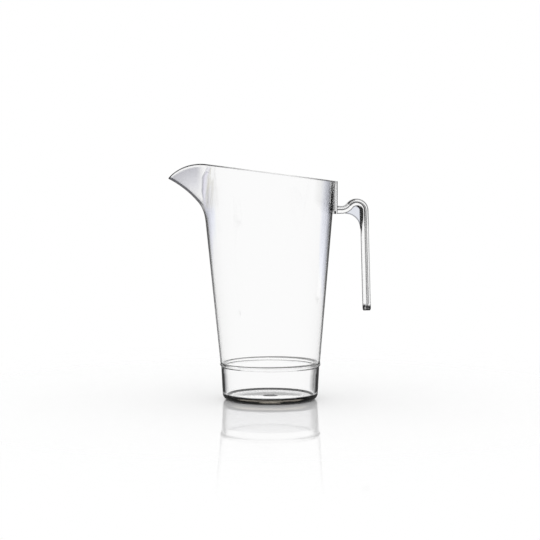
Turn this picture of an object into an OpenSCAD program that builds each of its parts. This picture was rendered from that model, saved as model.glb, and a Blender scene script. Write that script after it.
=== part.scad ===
// Clear stacking beer pitcher: base cup, body shell, pouring spout and open hook handle.
// All lengths are millimetres and all angles are degrees.
// The origin is on the table under the middle of the foot. +Z is up, the spout points to -X
// and the handle to +X.

/* [Body wall] */
// Outer radius of the body wall at the height of the stacking ledge
body_foot_r = 52.6; // [46:0.1:60]
// Angle between the body wall and its own axis
body_flare = 5.33; // [4:0.01:7]
// Lean of the body wall's axis towards the spout
body_lean = 0.6; // [0:0.05:1.2]
// Thickness of the body wall
body_wall = 2.6; // [2:0.1:3.2]
// Height of the rim above the stacking ledge, along the wall's axis
rim_rise = 201.4; // [190:0.1:230]
// Slope of the rim to the wall's axis, falling from the spout to the handle
rim_slope = 8; // [5:0.1:10]

/* [Base cup] */
// Height of the cup's shoulder above the table
cup_h = 34.8; // [28:0.1:40]
// Outer radius of the cup at its shoulder
cup_r = 51.9; // [48:0.1:56]
// Draft of the cup wall
cup_draft = 3; // [1:0.1:5]
// Thickness of the cup wall
cup_wall = 4; // [3.6:0.1:5]
// Thickness of the floor outside the hollow
floor_t = 3.8; // [3:0.1:8]
// Radius of the outer bottom edge
foot_edge_r = 6; // [3:0.1:9]
// Radius inside the cup, between floor and wall
floor_edge_r = 3; // [2:0.1:8]
// Depth of the hollow under the floor
hollow_d = 1.2; // [0.5:0.1:2]
// Width of the flat ring that the pitcher stands on
foot_w = 5; // [3:0.1:10]
// Radius of the round gate mark under the floor
gate_r = 7; // [4:0.1:10]
// Depth of the gate mark
gate_d = 0.8; // [0.4:0.1:1.2]

/* [Ring joint] */
// Height of the open seam between cup and body
seam_h = 0.6; // [0.4:0.1:3]
// Height of the round bead at the foot of the body
bead_h = 3; // [2:0.1:4]
// How far the bead stands out from the body wall
bead_out = 0.6; // [0.3:0.1:1.2]
// Depth to which the body's tongue reaches into the cup
tongue_d = 6; // [4:0.1:10]
// Thickness of the tongue
tongue_t = 2.2; // [1.6:0.1:2.6]
// Gap for the bond between two pieces
bond_gap = 0.05; // [0.02:0.01:0.15]

/* [Spout] */
// Distance of the spout's tip from the wall's axis
spout_reach = 105.6; // [95:0.1:115]
// Height above the ledge at which the throat leaves the wall
throat_rise = 162; // [150:0.1:172]
// Bend radius of the throat as a share of the throat's length
throat_bend_share = 2; // [1:0.1:4]
// Half width of the throat at its shoulder
throat_w = 20; // [14:0.1:24]
// Height of the throat's shoulder above the point where it leaves the wall
shoulder_up = 10; // [6:0.1:16]
// Half width of the spout's mouth at the rim
mouth_w = 36; // [30:0.1:38]
// Distance in front of the wall's axis at which the lip starts to bend down
lip_start = 63.8; // [58:0.1:70]
// Bend radius of the lip, seen from the side
lip_bend_r = 48.5; // [46:0.1:60]
// Height over which the throat blends into the wall
spout_blend = 6; // [3:0.1:9]
// Share of the spout's reach over which its sides blend into the wall
side_blend_share = 0.25; // [0.1:0.01:0.4]
// Roundness of the nose at the throat, from 0 for a sharp edge to 1 for a parabola
nose_root_share = 0.9; // [0.5:0.01:0.95]
// Roundness of the nose at the tip
nose_tip_share = 0.3; // [0.15:0.01:0.6]
// Angle from the middle of the spout to the seam at its side
seam_turn = 39; // [38.5:0.1:44]
// Angle by which the spout's inner edge laps behind the body wall
lap_turn = 2; // [1:0.1:4]
// Angle inside the seam over which the spout runs out into the plain wall
seam_fade_turn = 8; // [5:0.1:12]
// Height above the ledge at which the spout's panel stands in the body wall
panel_rise = 146; // [130:0.1:150]
// Columns of facets across the spout
spout_columns = 48; // [24:2:60]
// Rows of facets up the spout
spout_rows = 30; // [16:1:40]

/* [Handle] */
// Distance of the mounting plate's outer face from the origin's axis
plate_x = 70.4; // [70:0.1:76]
// Width of the mounting plate
plate_w = 26; // [22:0.1:32]
// Depth of the handle's middle line below the rim, at the plate
arm_down = 29.55; // [26:0.05:36]
// Length of the straight arm in front of the plate
arm_l = 4.4; // [3:0.1:10]
// Bend radius of the arm where it turns up
neck_r = 11.2; // [9:0.1:14]
// Bend radius of the handle's crest
crest_r = 8.4; // [7.5:0.1:14]
// Length of the straight grip
grip_l = 106; // [90:0.5:120]
// Angle by which the grip leans out from the vertical
grip_splay = 1.65; // [0:0.05:4]
// Width of the handle's outer strip
strip_w = 22; // [18:0.1:26]
// Thickness of the outer strip
strip_t = 4; // [3:0.1:5]
// Width of the rib along the inside of the handle
rib_w = 11; // [8:0.1:14]
// Depth of the rib
rib_t = 4.1; // [3:0.1:5]
// Edge radius of strip and rib
handle_edge_r = 1.9; // [0.6:0.1:1.9]
// Corner radius at the free end of the grip
grip_end_r = 8; // [4:0.1:8.5]
// Bend radius of the gusset's free edge
gusset_r = 15.8; // [12:0.1:20]
// Thickness of the gusset
gusset_t = 3; // [2:0.1:5]
// Radius between the plate and the top of the arm
arm_fillet_r = 2.6; // [1.5:0.1:4]

/* [Handle rail] */
// Distance of the rail's outer face from the origin's axis
rail_x = 69.2; // [69:0.05:69.6]
// Width of the rail at its outer face
rail_w = 12; // [9:0.1:16]
// Depth of the dovetail, from its outer face to its root inside the wall
rail_d = 10; // [8:0.1:12]
// Width of the rail at its root
rail_root_w = 5; // [3:0.1:8]
// Thickness of the plate's closed end below the rail
rail_stop = 2.8; // [2:0.1:5]

/* [Hidden] */
$fn = 120;

ledge_h = cup_h + seam_h + bead_h;
tongue_r = cup_r - tongue_d * tan(cup_draft) - cup_wall + tongue_t;
bore_r = tongue_r - tongue_t;
bead_r = body_foot_r + bead_out;
wall_across = body_wall / cos(body_flare);
overrun = body_wall;
cutter = 2 * (ledge_h + rim_rise);
neck_run_share = 0.8;
neck_fall_share = 0.6;
// Cosine of the grip's lean, held to six decimals so that bend and grip meet exactly
splay_steps = 1000000;
grip_turn = acos(round(cos(grip_splay) * splay_steps) / splay_steps);
// Height of the rim at the plate, and of the handle's middle line in whole steps below it
rim_back_h = ledge_h + rim_rise - plate_x * tan(rim_slope);
arm_step = 0.05;
arm_h = arm_step * round((rim_back_h - arm_down) / arm_step);
neck_x = plate_x + arm_l;
neck_h = arm_h + neck_r;
crest_x = neck_x + (neck_r + crest_r) * neck_run_share;
crest_h = neck_h - (neck_r + crest_r) * neck_fall_share;
plate_bottom = arm_h - rib_t;
gusset_x = crest_x + crest_r - rib_t - gusset_r;
gusset_h = plate_bottom - gusset_r;
lip_root_rise = rim_rise + lip_start * tan(rim_slope);
shoulder_rise = throat_rise + shoulder_up;
lip_x = lip_start + lip_bend_r * sin(rim_slope);
lip_h = lip_root_rise - lip_bend_r * cos(rim_slope);
probe = body_wall / 50;
probe_turn = 0.05;

// Outer radius of the plain wall at a height above the ledge
function cone_r(h) = body_foot_r + h * tan(body_flare);

// Height of the rim and lip at a distance in front of the wall's axis
function lip_rise(x) =
    x < lip_start
    ? rim_rise + x * tan(rim_slope)
    : lip_h + sqrt(max(0, pow(lip_bend_r, 2) - pow(x - lip_x, 2)));

tip = [spout_reach, lip_rise(spout_reach)];
throat = [cone_r(throat_rise), throat_rise];
throat_l = norm(tip - throat);
throat_r = throat_bend_share * throat_l;
throat_run = (tip - throat) / throat_l;
throat_off = sqrt(pow(throat_r, 2) - pow(throat_l / 2, 2));
throat_mid = (throat + tip) / 2 + throat_off * [throat_run[1], -throat_run[0]];
tip_slope = (tip[1] - throat_mid[1]) / (throat_mid[0] - tip[0]);

// Distance of the spout's nose from the wall's axis
function nose_x(h) =
    h <= tip[1]
    ? throat_mid[0] - sqrt(pow(throat_r, 2) - pow(h - throat_mid[1], 2))
    : tip[0] + (h - tip[1]) * tip_slope;

// A value that is cut off softly below zero, over a range of plus or minus the blend
function soft(value, blend) =
    let (share = max(0, min(1, (1 + value / blend) / 2)))
    value * share + blend * share * (1 - share);

// Height whose plan the spout has at a height: the throat keeps the plan of its shoulder
function plan_rise(h) = shoulder_rise + soft(h - shoulder_rise, spout_blend);

// Share of the way from the throat's shoulder up to the rim
function plan_share(h) = (h - shoulder_rise) / (lip_root_rise - shoulder_rise);

// Half width at which the spout's sides meet the plain wall
function root_w(h) = throat_w + (mouth_w - throat_w) * plan_share(h);

// Roundness of the nose
function nose_share(h) =
    nose_root_share + (nose_tip_share - nose_root_share) * min(1, plan_share(h));

// Radius of the spout's side, a hyperbola through its nose and its two roots
function side_r(turn, h) =
    let (n = nose_x(h))
    let (w = root_w(h))
    let (u = n - sqrt(pow(cone_r(h), 2) - w * w))
    let (round_r = nose_share(h) * w * w / (2 * u))
    let (spread = (w * w - 2 * round_r * u) / (u * u))
    let (a = pow(sin(turn), 2) - spread * pow(cos(turn), 2))
    let (b = 2 * cos(turn) * (round_r + n * spread))
    let (c = 2 * round_r * n + n * n * spread)
    2 * c / (b + sqrt(max(0, b * b + 4 * a * c)));

// Share of the nose's reach that the spout has at an angle beside it
function beside_share(turn, h) =
    let (plan = plan_rise(h))
    soft((side_r(turn, plan) - cone_r(plan)) / (nose_x(plan) - cone_r(plan)), side_blend_share);

// Share of the spout's reach that is left near its seam
function seam_share(turn) =
    let (s = max(0, min(1, (seam_turn - abs(turn)) / seam_fade_turn)))
    s * s * (3 - 2 * s);

// Outer radius of the wall with its spout
function front_r(turn, h) =
    cone_r(h) + soft(nose_x(h) - cone_r(h), spout_blend) * beside_share(turn, h) * seam_share(turn);

// Radius at a depth inside the outer skin
function skin_r(turn, h, depth) =
    let (r = front_r(turn, h))
    let (across = front_r(turn + probe_turn, h) - front_r(turn - probe_turn, h))
    let (up = (front_r(turn, h + probe) - front_r(turn, h - probe)) / (2 * probe))
    let (around = across / (2 * probe_turn) * (180 / PI) / r)
    r - depth * sqrt(1 + around * around + up * up);

// Height at which a skin reaches the lip
function skin_top(turn, depth, low, high, steps) =
    let (h = (low + high) / 2)
    steps == 0
    ? h
    : h < lip_rise(skin_r(turn, h, depth) * cos(turn))
    ? skin_top(turn, depth, h, high, steps - 1)
    : skin_top(turn, depth, low, h, steps - 1);

// Heights inside this module run from the stacking ledge along the wall's axis
module on_wall_axis() {
    translate([0, 0, ledge_h])
        rotate([0, -body_lean, 0])
            children();
}

// Solid cone inside a skin of the body wall
module wall_cone(depth) {
    on_wall_axis()
        translate([0, 0, -bead_h / 2])
            cylinder(
                h = rim_rise + lip_start,
                r1 = cone_r(-bead_h / 2) - depth,
                r2 = cone_r(rim_rise + lip_start - bead_h / 2) - depth
            );
}

// Everything above the sloping rim
module above_rim() {
    on_wall_axis()
        translate([0, 0, rim_rise])
            rotate([0, rim_slope, 0])
                translate([-cutter / 2, -cutter / 2, 0])
                    cube([cutter, cutter, cutter]);
}

// Everything above the stacking ledge
module above_ledge() {
    translate([-cutter / 2, -cutter / 2, ledge_h])
        cube([cutter, cutter, cutter]);
}

// Wedge in front of the wall's axis, above the panel's lower edge
module spout_window(turn) {
    on_wall_axis()
        translate([0, 0, panel_rise])
            linear_extrude(height = cutter)
                polygon([[0, 0], [-cutter, -cutter * tan(turn)], [-cutter, cutter * tan(turn)]]);
}

// Half section of a cup with drafted wall and round lower edge
module cup_section(top_r, top_h, low_h, edge_r) {
    low_r = top_r - (top_h - low_h) * tan(cup_draft);
    edge_x = low_r + edge_r * (tan(cup_draft) - 1 / cos(cup_draft));
    polygon([
        [0, low_h],
        [edge_x, low_h],
        [edge_x + edge_r * cos(cup_draft), low_h + edge_r * (1 - sin(cup_draft))],
        [top_r, top_h],
        [0, top_h]
    ]);
    translate([edge_x, low_h + edge_r])
        circle(r = edge_r);
}

// Thick cup that carries the floor, the foot ring and the socket for the body's tongue
module base_cup() {
    inner_top_h = cup_h + overrun;
    inner_top_r = bore_r + (tongue_d + overrun) * tan(cup_draft);
    foot_edge_x = cup_r - cup_h * tan(cup_draft) + foot_edge_r * (tan(cup_draft) - 1 / cos(cup_draft));
    hollow_r = foot_edge_x - foot_w;
    hollow_bend_r = (pow(hollow_r, 2) + pow(hollow_d, 2)) / (2 * hollow_d);
    color([0.86, 0.89, 0.94, 0.5])
        difference() {
            rotate_extrude()
                intersection() {
                    difference() {
                        cup_section(cup_r, cup_h, 0, foot_edge_r);
                        cup_section(inner_top_r, inner_top_h, floor_t, floor_edge_r);
                        translate([0, cup_h - tongue_d])
                            square([tongue_r + bond_gap, tongue_d + overrun]);
                        translate([0, hollow_d - hollow_bend_r])
                            circle(r = hollow_bend_r, $fn = 6 * $fn);
                    }
                    square([cup_r + overrun, cup_h]);
                }
            translate([0, 0, hollow_d - overrun])
                cylinder(h = gate_d + overrun, r = gate_r);
        }
}

// Rail on the back of the body that the handle is pushed on to
module rail(gap, low_h) {
    translate([0, 0, low_h])
        linear_extrude(height = cutter)
            polygon([
                [rail_x - rail_d, -rail_root_w / 2 - gap],
                [rail_x + gap, -rail_w / 2 - gap],
                [rail_x + gap, rail_w / 2 + gap],
                [rail_x - rail_d, rail_root_w / 2 + gap]
            ]);
}

// Tapered wall with tongue, bead, stacking ledge and handle rail
module body_shell() {
    color([0.9, 0.93, 0.97, 0.45])
        difference() {
            union() {
                translate([0, 0, cup_h - tongue_d])
                    cylinder(h = tongue_d + seam_h + bead_h, r = tongue_r);
                rotate_extrude() {
                    translate([0, cup_h + seam_h])
                        square([bead_r - bead_h / 2, bead_h]);
                    translate([bead_r - bead_h / 2, cup_h + seam_h + bead_h / 2])
                        circle(r = bead_h / 2);
                }
                wall_cone(0);
                rail(0, plate_bottom + rail_stop);
            }
            translate([0, 0, cup_h - tongue_d - overrun])
                cylinder(h = tongue_d + seam_h + bead_h + 2 * overrun, r = bore_r);
            intersection() {
                wall_cone(wall_across);
                above_ledge();
            }
            above_rim();
            spout_window(seam_turn);
            intersection() {
                spout_window(seam_turn + lap_turn);
                wall_cone(wall_across / 2);
            }
        }
}

// Panel with the pouring spout, lapped behind the edges of the window in the body wall
module pour_spout() {
    gap_turn = atan(bond_gap / cone_r(panel_rise));
    edge = seam_turn - gap_turn;
    lap = seam_turn + lap_turn - gap_turn;
    lap_depth = body_wall / 2 + bond_gap;
    n = spout_columns;
    low = panel_rise + bond_gap;
    columns = [for (i = [0 : n]) let (s = 2 * i / n - 1) edge * sign(s) * pow(abs(s), 1.5)];
    loop = concat(
        [for (turn = columns) [turn, 0]],
        [[edge, lap_depth], [lap, lap_depth], [lap, body_wall]],
        [for (i = [0 : n]) [columns[n - i], body_wall]],
        [[-lap, body_wall], [-lap, lap_depth], [-edge, lap_depth]]
    );
    m = len(loop);
    tops = [for (p = loop) skin_top(p[0], p[1], throat_rise, rim_rise + lip_start, 40)];
    points = [
        for (row = [0 : spout_rows])
            for (k = [0 : m - 1])
                let (turn = loop[k][0])
                let (h = low + (tops[k] - low) * row / spout_rows)
                let (r = skin_r(turn, h, loop[k][1]))
                [-r * cos(turn), r * sin(turn), h]
    ];
    sides = [
        for (row = [0 : spout_rows - 1])
            for (k = [0 : m - 1])
                let (a = row * m + k)
                let (b = row * m + (k + 1) % m)
                for (face = [[a, b, b + m], [a, b + m, a + m]])
                    face
    ];
    // Each cap runs between the outer skin, numbered 0 to n, and the inner skin, numbered back from 2 n + 4
    cap = concat(
        [
            for (i = [1 : n - 2])
                for (face = [[i, i + 1, 2 * n + 3 - i], [i, 2 * n + 3 - i, 2 * n + 4 - i]])
                    face
        ],
        [
            [n - 1, n, n + 1],
            [n - 1, n + 1, n + 5],
            [n + 1, n + 4, n + 5],
            [n + 1, n + 2, n + 3],
            [n + 1, n + 3, n + 4],
            [1, 2 * n + 3, 2 * n + 7],
            [1, 2 * n + 7, 0],
            [2 * n + 3, 2 * n + 4, 2 * n + 7],
            [2 * n + 4, 2 * n + 5, 2 * n + 7],
            [2 * n + 5, 2 * n + 6, 2 * n + 7]
        ]
    );
    top = spout_rows * m;
    caps = concat(
        [for (f = cap) [f[2], f[1], f[0]]],
        [for (f = cap) [top + f[0], top + f[1], top + f[2]]]
    );
    color([0.84, 0.86, 0.95, 0.5])
        on_wall_axis()
            polyhedron(points = points, faces = concat(sides, caps));
}

// Rectangle with round corners, from its lower left corner
module round_block(size, r) {
    translate([r, 0])
        square([size[0] - 2 * r, size[1]]);
    translate([0, r])
        square([size[0], size[1] - 2 * r]);
    for (x = [r, size[0] - r])
        for (y = [r, size[1] - r])
            translate([x, y])
                circle(r = r);
}

// Section of the handle: the outer strip on the +X side and the rib on the -X side
module handle_section() {
    translate([0, -strip_w / 2])
        round_block([strip_t, strip_w], handle_edge_r);
    translate([-rib_t, -rib_w / 2])
        round_block([rib_t + strip_t / 2, rib_w], handle_edge_r);
}

// Space above or below the line through the middles of the two bends, where the bends meet
module bend_side(up) {
    run = crest_x - neck_x;
    fall = neck_h - crest_h;
    rotate([90, 0, 0])
        linear_extrude(height = 2 * plate_w, center = true)
            polygon([
                [neck_x - run, neck_h + fall],
                [crest_x + run, crest_h - fall],
                [crest_x + run, crest_h + up * 4 * fall],
                [neck_x - run, neck_h + up * 4 * fall]
            ]);
}

// Bend that turns the arm up
module neck() {
    intersection() {
        translate([neck_x, 0, neck_h])
            rotate([90, 90, 0])
                rotate_extrude(angle = 90)
                    translate([neck_r, 0])
                        mirror([1, 0])
                            handle_section();
        bend_side(-1);
    }
}

// Round crest between the neck and the grip
module crest() {
    intersection() {
        translate([crest_x, 0, crest_h])
            rotate([90, -grip_turn, 0])
                rotate_extrude(angle = 160)
                    translate([crest_r, 0])
                        handle_section();
        bend_side(1);
    }
}

// Straight grip with rounded free end
module grip() {
    translate([crest_x, 0, crest_h])
        rotate([0, -grip_turn, 0])
            translate([crest_r, 0, -grip_l])
                intersection() {
                    linear_extrude(height = grip_l)
                        handle_section();
                    translate([-rib_t - overrun, 0, 0])
                        rotate([90, 0, 90])
                            linear_extrude(height = rib_t + strip_t + 2 * overrun)
                                union() {
                                    translate([-strip_w / 2, grip_end_r])
                                        square([strip_w, grip_l]);
                                    translate([grip_end_r - strip_w / 2, 0])
                                        square([strip_w - 2 * grip_end_r, grip_l]);
                                    for (side = [-1, 1])
                                        translate([side * (strip_w / 2 - grip_end_r), grip_end_r])
                                            circle(r = grip_end_r);
                                }
                }
}

// Thin web in the corner between arm and grip
module gusset() {
    rotate([90, 0, 0])
        linear_extrude(height = gusset_t, center = true)
            difference() {
                union() {
                    translate([crest_x, crest_h])
                        circle(r = crest_r - rib_t / 2);
                    translate([gusset_x, gusset_h])
                        square([gusset_r + rib_t / 2, crest_h - gusset_h]);
                }
                translate([gusset_x, gusset_h])
                    circle(r = gusset_r);
                translate([neck_x, neck_h])
                    circle(r = neck_r + rib_t / 2);
            }
}

// Hook handle with mounting plate, pushed up on to the body's rail
module handle() {
    color([0.8, 0.84, 0.92, 0.6])
        union() {
            difference() {
                translate([rail_x - rail_d, -plate_w / 2, plate_bottom])
                    cube([plate_x - rail_x + rail_d, plate_w, cutter]);
                wall_cone(-bond_gap);
                rail(bond_gap, plate_bottom + rail_stop - bond_gap);
                above_rim();
            }
            translate([plate_x, 0, arm_h])
                rotate([0, 90, 0])
                    rotate([0, 0, 180])
                        linear_extrude(height = arm_l)
                            handle_section();
            rotate([90, 0, 0])
                linear_extrude(height = strip_w - 2 * handle_edge_r, center = true)
                    translate([plate_x, arm_h + strip_t])
                        difference() {
                            square(arm_fillet_r);
                            translate([arm_fillet_r, arm_fillet_r])
                                circle(r = arm_fillet_r);
                        }
            neck();
            crest();
            grip();
            gusset();
        }
}

base_cup();
body_shell();
pour_spout();
handle();
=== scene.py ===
import math
import bpy
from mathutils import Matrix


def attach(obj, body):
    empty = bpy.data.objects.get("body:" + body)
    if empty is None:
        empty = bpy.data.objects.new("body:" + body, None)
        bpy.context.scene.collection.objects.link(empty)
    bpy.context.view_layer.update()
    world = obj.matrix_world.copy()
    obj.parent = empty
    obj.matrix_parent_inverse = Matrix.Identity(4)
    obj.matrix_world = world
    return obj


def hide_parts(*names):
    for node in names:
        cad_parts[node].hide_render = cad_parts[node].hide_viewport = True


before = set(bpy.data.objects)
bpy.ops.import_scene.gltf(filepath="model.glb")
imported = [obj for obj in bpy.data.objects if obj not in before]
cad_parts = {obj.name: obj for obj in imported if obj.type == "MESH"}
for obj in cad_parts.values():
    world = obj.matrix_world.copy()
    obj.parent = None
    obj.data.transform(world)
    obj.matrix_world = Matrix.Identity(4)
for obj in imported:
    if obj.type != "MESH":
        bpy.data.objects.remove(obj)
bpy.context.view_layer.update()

MM = 0.001
SIDES = 240
IOR = 1.5
MIRRORED = 0.15
INSIDE_SLANTS = (0.72, 0.92)
WHITE = (1, 1, 1)

# Studio
FLOOR_REACH = 0.7
FLOOR_DROP = 0.0002
FLOOR_FADE = (0.16, 0.55)
FLOOR_GLOSS = 0.45
LENS_ANGLE = math.radians(19.125)
CAMERA_PLACE = (-0.0003, -1.69, 0.237)
CAMERA_PITCH = math.radians(3.395)

# Body wall
BODY_FOOT_R = 52.6
BODY_FLARE = math.radians(5.33)
BODY_LEAN = math.radians(0.6)
BODY_WALL = 2.6
WALL_ACROSS = BODY_WALL / math.cos(BODY_FLARE)
RIM_RISE = 201.4
RIM_SLOPE = math.radians(8)
RIM_ROUND = 0.95

# Base cup
CUP_H = 34.8
CUP_R = 51.9
CUP_DRAFT = math.radians(3)
CUP_WALL = 4
FLOOR_T = 3.8
FOOT_EDGE_R = 6
FLOOR_EDGE_R = 3
HOLLOW_D = 1.2
FOOT_W = 5
GATE_R = 7
GATE_D = 0.8

# Ring joint
SEAM_H = 0.6
BEAD_H = 3
BEAD_OUT = 0.6
TONGUE_D = 6
TONGUE_T = 2.2
BOND_GAP = 0.05
LEDGE_H = CUP_H + SEAM_H + BEAD_H
TONGUE_R = CUP_R - TONGUE_D * math.tan(CUP_DRAFT) - CUP_WALL + TONGUE_T
BORE_R = TONGUE_R - TONGUE_T

# Spout
SPOUT_REACH = 105.6
THROAT_RISE = 162
THROAT_W = 20
SHOULDER_RISE = 172
MOUTH_W = 36
LIP_START = 63.8
LIP_BEND_R = 48.5
SPOUT_BLEND = 6
SIDE_BLEND = 0.25
NOSE_ROOT = 0.9
NOSE_TIP = 0.3
SEAM_TURN = 39
SEAM_FADE_TURN = 8
PANEL_RISE = 146

# Handle
PLATE_X = 70.4
PLATE_W = 26
PLATE_BOTTOM = 196.25
ARM_H = 200.35
ARM_L = 4.4
NECK_R = 11.2
CREST_R = 8.4
GRIP_L = 106
GRIP_SPLAY = math.radians(1.65)
STRIP_W = 22
STRIP_T = 4
RIB_W = 11
RIB_T = 4.1
HANDLE_EDGE_R = 1.9
GRIP_END_R = 8
GUSSET_R = 15.8
GUSSET_T = 3
ARM_FILLET_R = 2.6
RAIL_X = 69.2
RAIL_W = 12
RAIL_D = 10
RAIL_ROOT_W = 5
RAIL_STOP = 2.8


# Modelling with mesh tools

def start_clean():
    if bpy.context.object and bpy.context.object.mode != "OBJECT":
        bpy.ops.object.mode_set(mode="OBJECT")
    bpy.ops.object.select_all(action="DESELECT")


def take(piece):
    start_clean()
    piece.select_set(True)
    bpy.context.view_layer.objects.active = piece


def pick(piece, kind, wanted):
    """Selects the vertices, edges or polygons that are wanted, in edit mode."""
    take(piece)
    bpy.ops.object.mode_set(mode="EDIT")
    modes = {"vertices": "VERT", "edges": "EDGE", "polygons": "FACE"}
    bpy.ops.mesh.select_mode(type=modes[kind])
    bpy.ops.mesh.select_all(action="DESELECT")
    bpy.ops.object.mode_set(mode="OBJECT")
    for item in getattr(piece.data, kind):
        item.select = bool(wanted(item))
    bpy.ops.object.mode_set(mode="EDIT")


def turned_piece(name, rings):
    """Draws a wall out of an open ring, ring by ring. Each ring is a radius and a height."""
    start_clean()
    first_r, first_h = rings[0]
    bpy.ops.mesh.primitive_circle_add(
        vertices=SIDES, radius=first_r * MM, fill_type="NOTHING", location=(0, 0, first_h * MM)
    )
    piece = bpy.context.object
    piece.name = name
    bpy.ops.object.transform_apply(location=True, rotation=True, scale=True)
    bpy.ops.object.mode_set(mode="EDIT")
    bpy.ops.mesh.select_all(action="SELECT")
    for (r0, h0), (r1, h1) in zip(rings, rings[1:]):
        bpy.ops.mesh.extrude_edges_move(TRANSFORM_OT_translate={"value": (0, 0, (h1 - h0) * MM)})
        bpy.ops.transform.resize(value=(r1 / r0, r1 / r0, 1), center_override=(0, 0, h1 * MM))
    bpy.ops.object.mode_set(mode="OBJECT")
    return piece


def outline_piece(name, points):
    """A closed loop of edges through the points."""
    start_clean()
    bpy.ops.mesh.primitive_circle_add(vertices=len(points), radius=MM, fill_type="NOTHING")
    piece = bpy.context.object
    piece.name = name
    for vertex, point in zip(piece.data.vertices, points):
        vertex.co = [c * MM for c in point]
    return piece


def prism(name, points, run):
    """A closed block: the outline is filled and drawn out along a straight run."""
    piece = outline_piece(name, points)
    bpy.ops.object.mode_set(mode="EDIT")
    bpy.ops.mesh.select_all(action="SELECT")
    bpy.ops.mesh.edge_face_add()
    bpy.ops.mesh.extrude_region_move(TRANSFORM_OT_translate={"value": [c * MM for c in run]})
    face_out(piece)
    return piece


def face_out(piece):
    """Merges doubles and turns all faces outwards."""
    take(piece)
    bpy.ops.object.mode_set(mode="EDIT")
    bpy.ops.mesh.select_mode(type="VERT")
    bpy.ops.mesh.select_all(action="SELECT")
    bpy.ops.mesh.remove_doubles(threshold=0.002 * MM)
    bpy.ops.mesh.normals_make_consistent(inside=False)
    bpy.ops.object.mode_set(mode="OBJECT")


def combine(piece, other, operation):
    take(piece)
    step = piece.modifiers.new(operation.lower(), "BOOLEAN")
    step.operation = operation
    step.solver = "EXACT"
    step.object = other
    bpy.ops.object.modifier_apply(modifier=step.name)
    bpy.data.objects.remove(other)


def arc(x, h, r, start, end, steps):
    """Points on an arc in the plane of the section, from one angle to another in degrees."""
    turns = [math.radians(start + (end - start) * i / steps) for i in range(steps + 1)]
    return [(x + r * math.cos(t), h + r * math.sin(t)) for t in turns]


# Shapes of this pitcher

def cone_r(h):
    return BODY_FOOT_R + h * math.tan(BODY_FLARE)


LIP_ROOT_RISE = RIM_RISE + LIP_START * math.tan(RIM_SLOPE)
LIP_X = LIP_START + LIP_BEND_R * math.sin(RIM_SLOPE)
LIP_H = LIP_ROOT_RISE - LIP_BEND_R * math.cos(RIM_SLOPE)


def lip_rise(x):
    if x < LIP_START:
        return RIM_RISE + x * math.tan(RIM_SLOPE)
    return LIP_H + math.sqrt(max(0, LIP_BEND_R ** 2 - (x - LIP_X) ** 2))


TIP_H = lip_rise(SPOUT_REACH)
THROAT_X = cone_r(THROAT_RISE)
THROAT_L = math.hypot(SPOUT_REACH - THROAT_X, TIP_H - THROAT_RISE)
THROAT_R = 2 * THROAT_L
THROAT_OFF = math.sqrt(THROAT_R ** 2 - (THROAT_L / 2) ** 2)
THROAT_MID_X = (SPOUT_REACH + THROAT_X) / 2 + THROAT_OFF * (TIP_H - THROAT_RISE) / THROAT_L
THROAT_MID_H = (TIP_H + THROAT_RISE) / 2 - THROAT_OFF * (SPOUT_REACH - THROAT_X) / THROAT_L
TIP_SLOPE = (TIP_H - THROAT_MID_H) / (THROAT_MID_X - SPOUT_REACH)


def nose_x(h):
    if h <= TIP_H:
        return THROAT_MID_X - math.sqrt(THROAT_R ** 2 - (h - THROAT_MID_H) ** 2)
    return SPOUT_REACH + (h - TIP_H) * TIP_SLOPE


def soft(value, blend):
    share = max(0, min(1, (1 + value / blend) / 2))
    return value * share + blend * share * (1 - share)


def beside(turn, h):
    """How much of the spout's reach is left at an angle beside its middle."""
    plan = SHOULDER_RISE + soft(h - SHOULDER_RISE, SPOUT_BLEND)
    share = (plan - SHOULDER_RISE) / (LIP_ROOT_RISE - SHOULDER_RISE)
    width = THROAT_W + (MOUTH_W - THROAT_W) * share
    roundness = NOSE_ROOT + (NOSE_TIP - NOSE_ROOT) * min(1, share)
    nose = nose_x(plan)
    reach = nose - math.sqrt(cone_r(plan) ** 2 - width ** 2)
    nose_round = roundness * width ** 2 / (2 * reach)
    spread = (width ** 2 - 2 * nose_round * reach) / reach ** 2
    a = math.sin(turn) ** 2 - spread * math.cos(turn) ** 2
    b = 2 * math.cos(turn) * (nose_round + nose * spread)
    c = 2 * nose_round * nose + nose ** 2 * spread
    side = 2 * c / (b + math.sqrt(max(0, b * b + 4 * a * c)))
    return soft((side - cone_r(plan)) / (nose - cone_r(plan)), SIDE_BLEND)


def seam_share(turn):
    """How much of the spout's reach is left near its seam, where it runs out into the wall."""
    share = max(0, min(1, (SEAM_TURN - abs(math.degrees(turn))) / SEAM_FADE_TURN))
    return share * share * (3 - 2 * share)


def front_r(turn, h):
    return cone_r(h) + soft(nose_x(h) - cone_r(h), SPOUT_BLEND) * beside(turn, h) * seam_share(turn)


def skin_r(turn, h, depth):
    """Radius of a skin at a depth below the spout's outer face."""
    r = front_r(turn, h)
    if depth == 0:
        return r
    step = 0.05
    turn_step = math.radians(0.05)
    across = (front_r(turn + turn_step, h) - front_r(turn - turn_step, h)) / (2 * turn_step * r)
    up = (front_r(turn, h + step) - front_r(turn, h - step)) / (2 * step)
    return r - depth * math.sqrt(1 + across ** 2 + up ** 2)


def skin_top(turn, depth):
    """Height at which a skin meets the rim or the lip."""
    low, high = THROAT_RISE, RIM_RISE + LIP_START
    for _ in range(40):
        middle = (low + high) / 2
        if middle < lip_rise(skin_r(turn, middle, depth) * math.cos(turn)):
            low = middle
        else:
            high = middle
    return (low + high) / 2


def lean(piece):
    """Leans the wall's part of a piece towards the spout."""
    pick(piece, "vertices", lambda v: v.co.z > (LEDGE_H + 1.2) * MM)
    bpy.ops.transform.rotate(
        value=BODY_LEAN, orient_axis="Y", orient_type="GLOBAL", center_override=(0, 0, LEDGE_H * MM)
    )
    bpy.ops.object.mode_set(mode="OBJECT")


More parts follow.
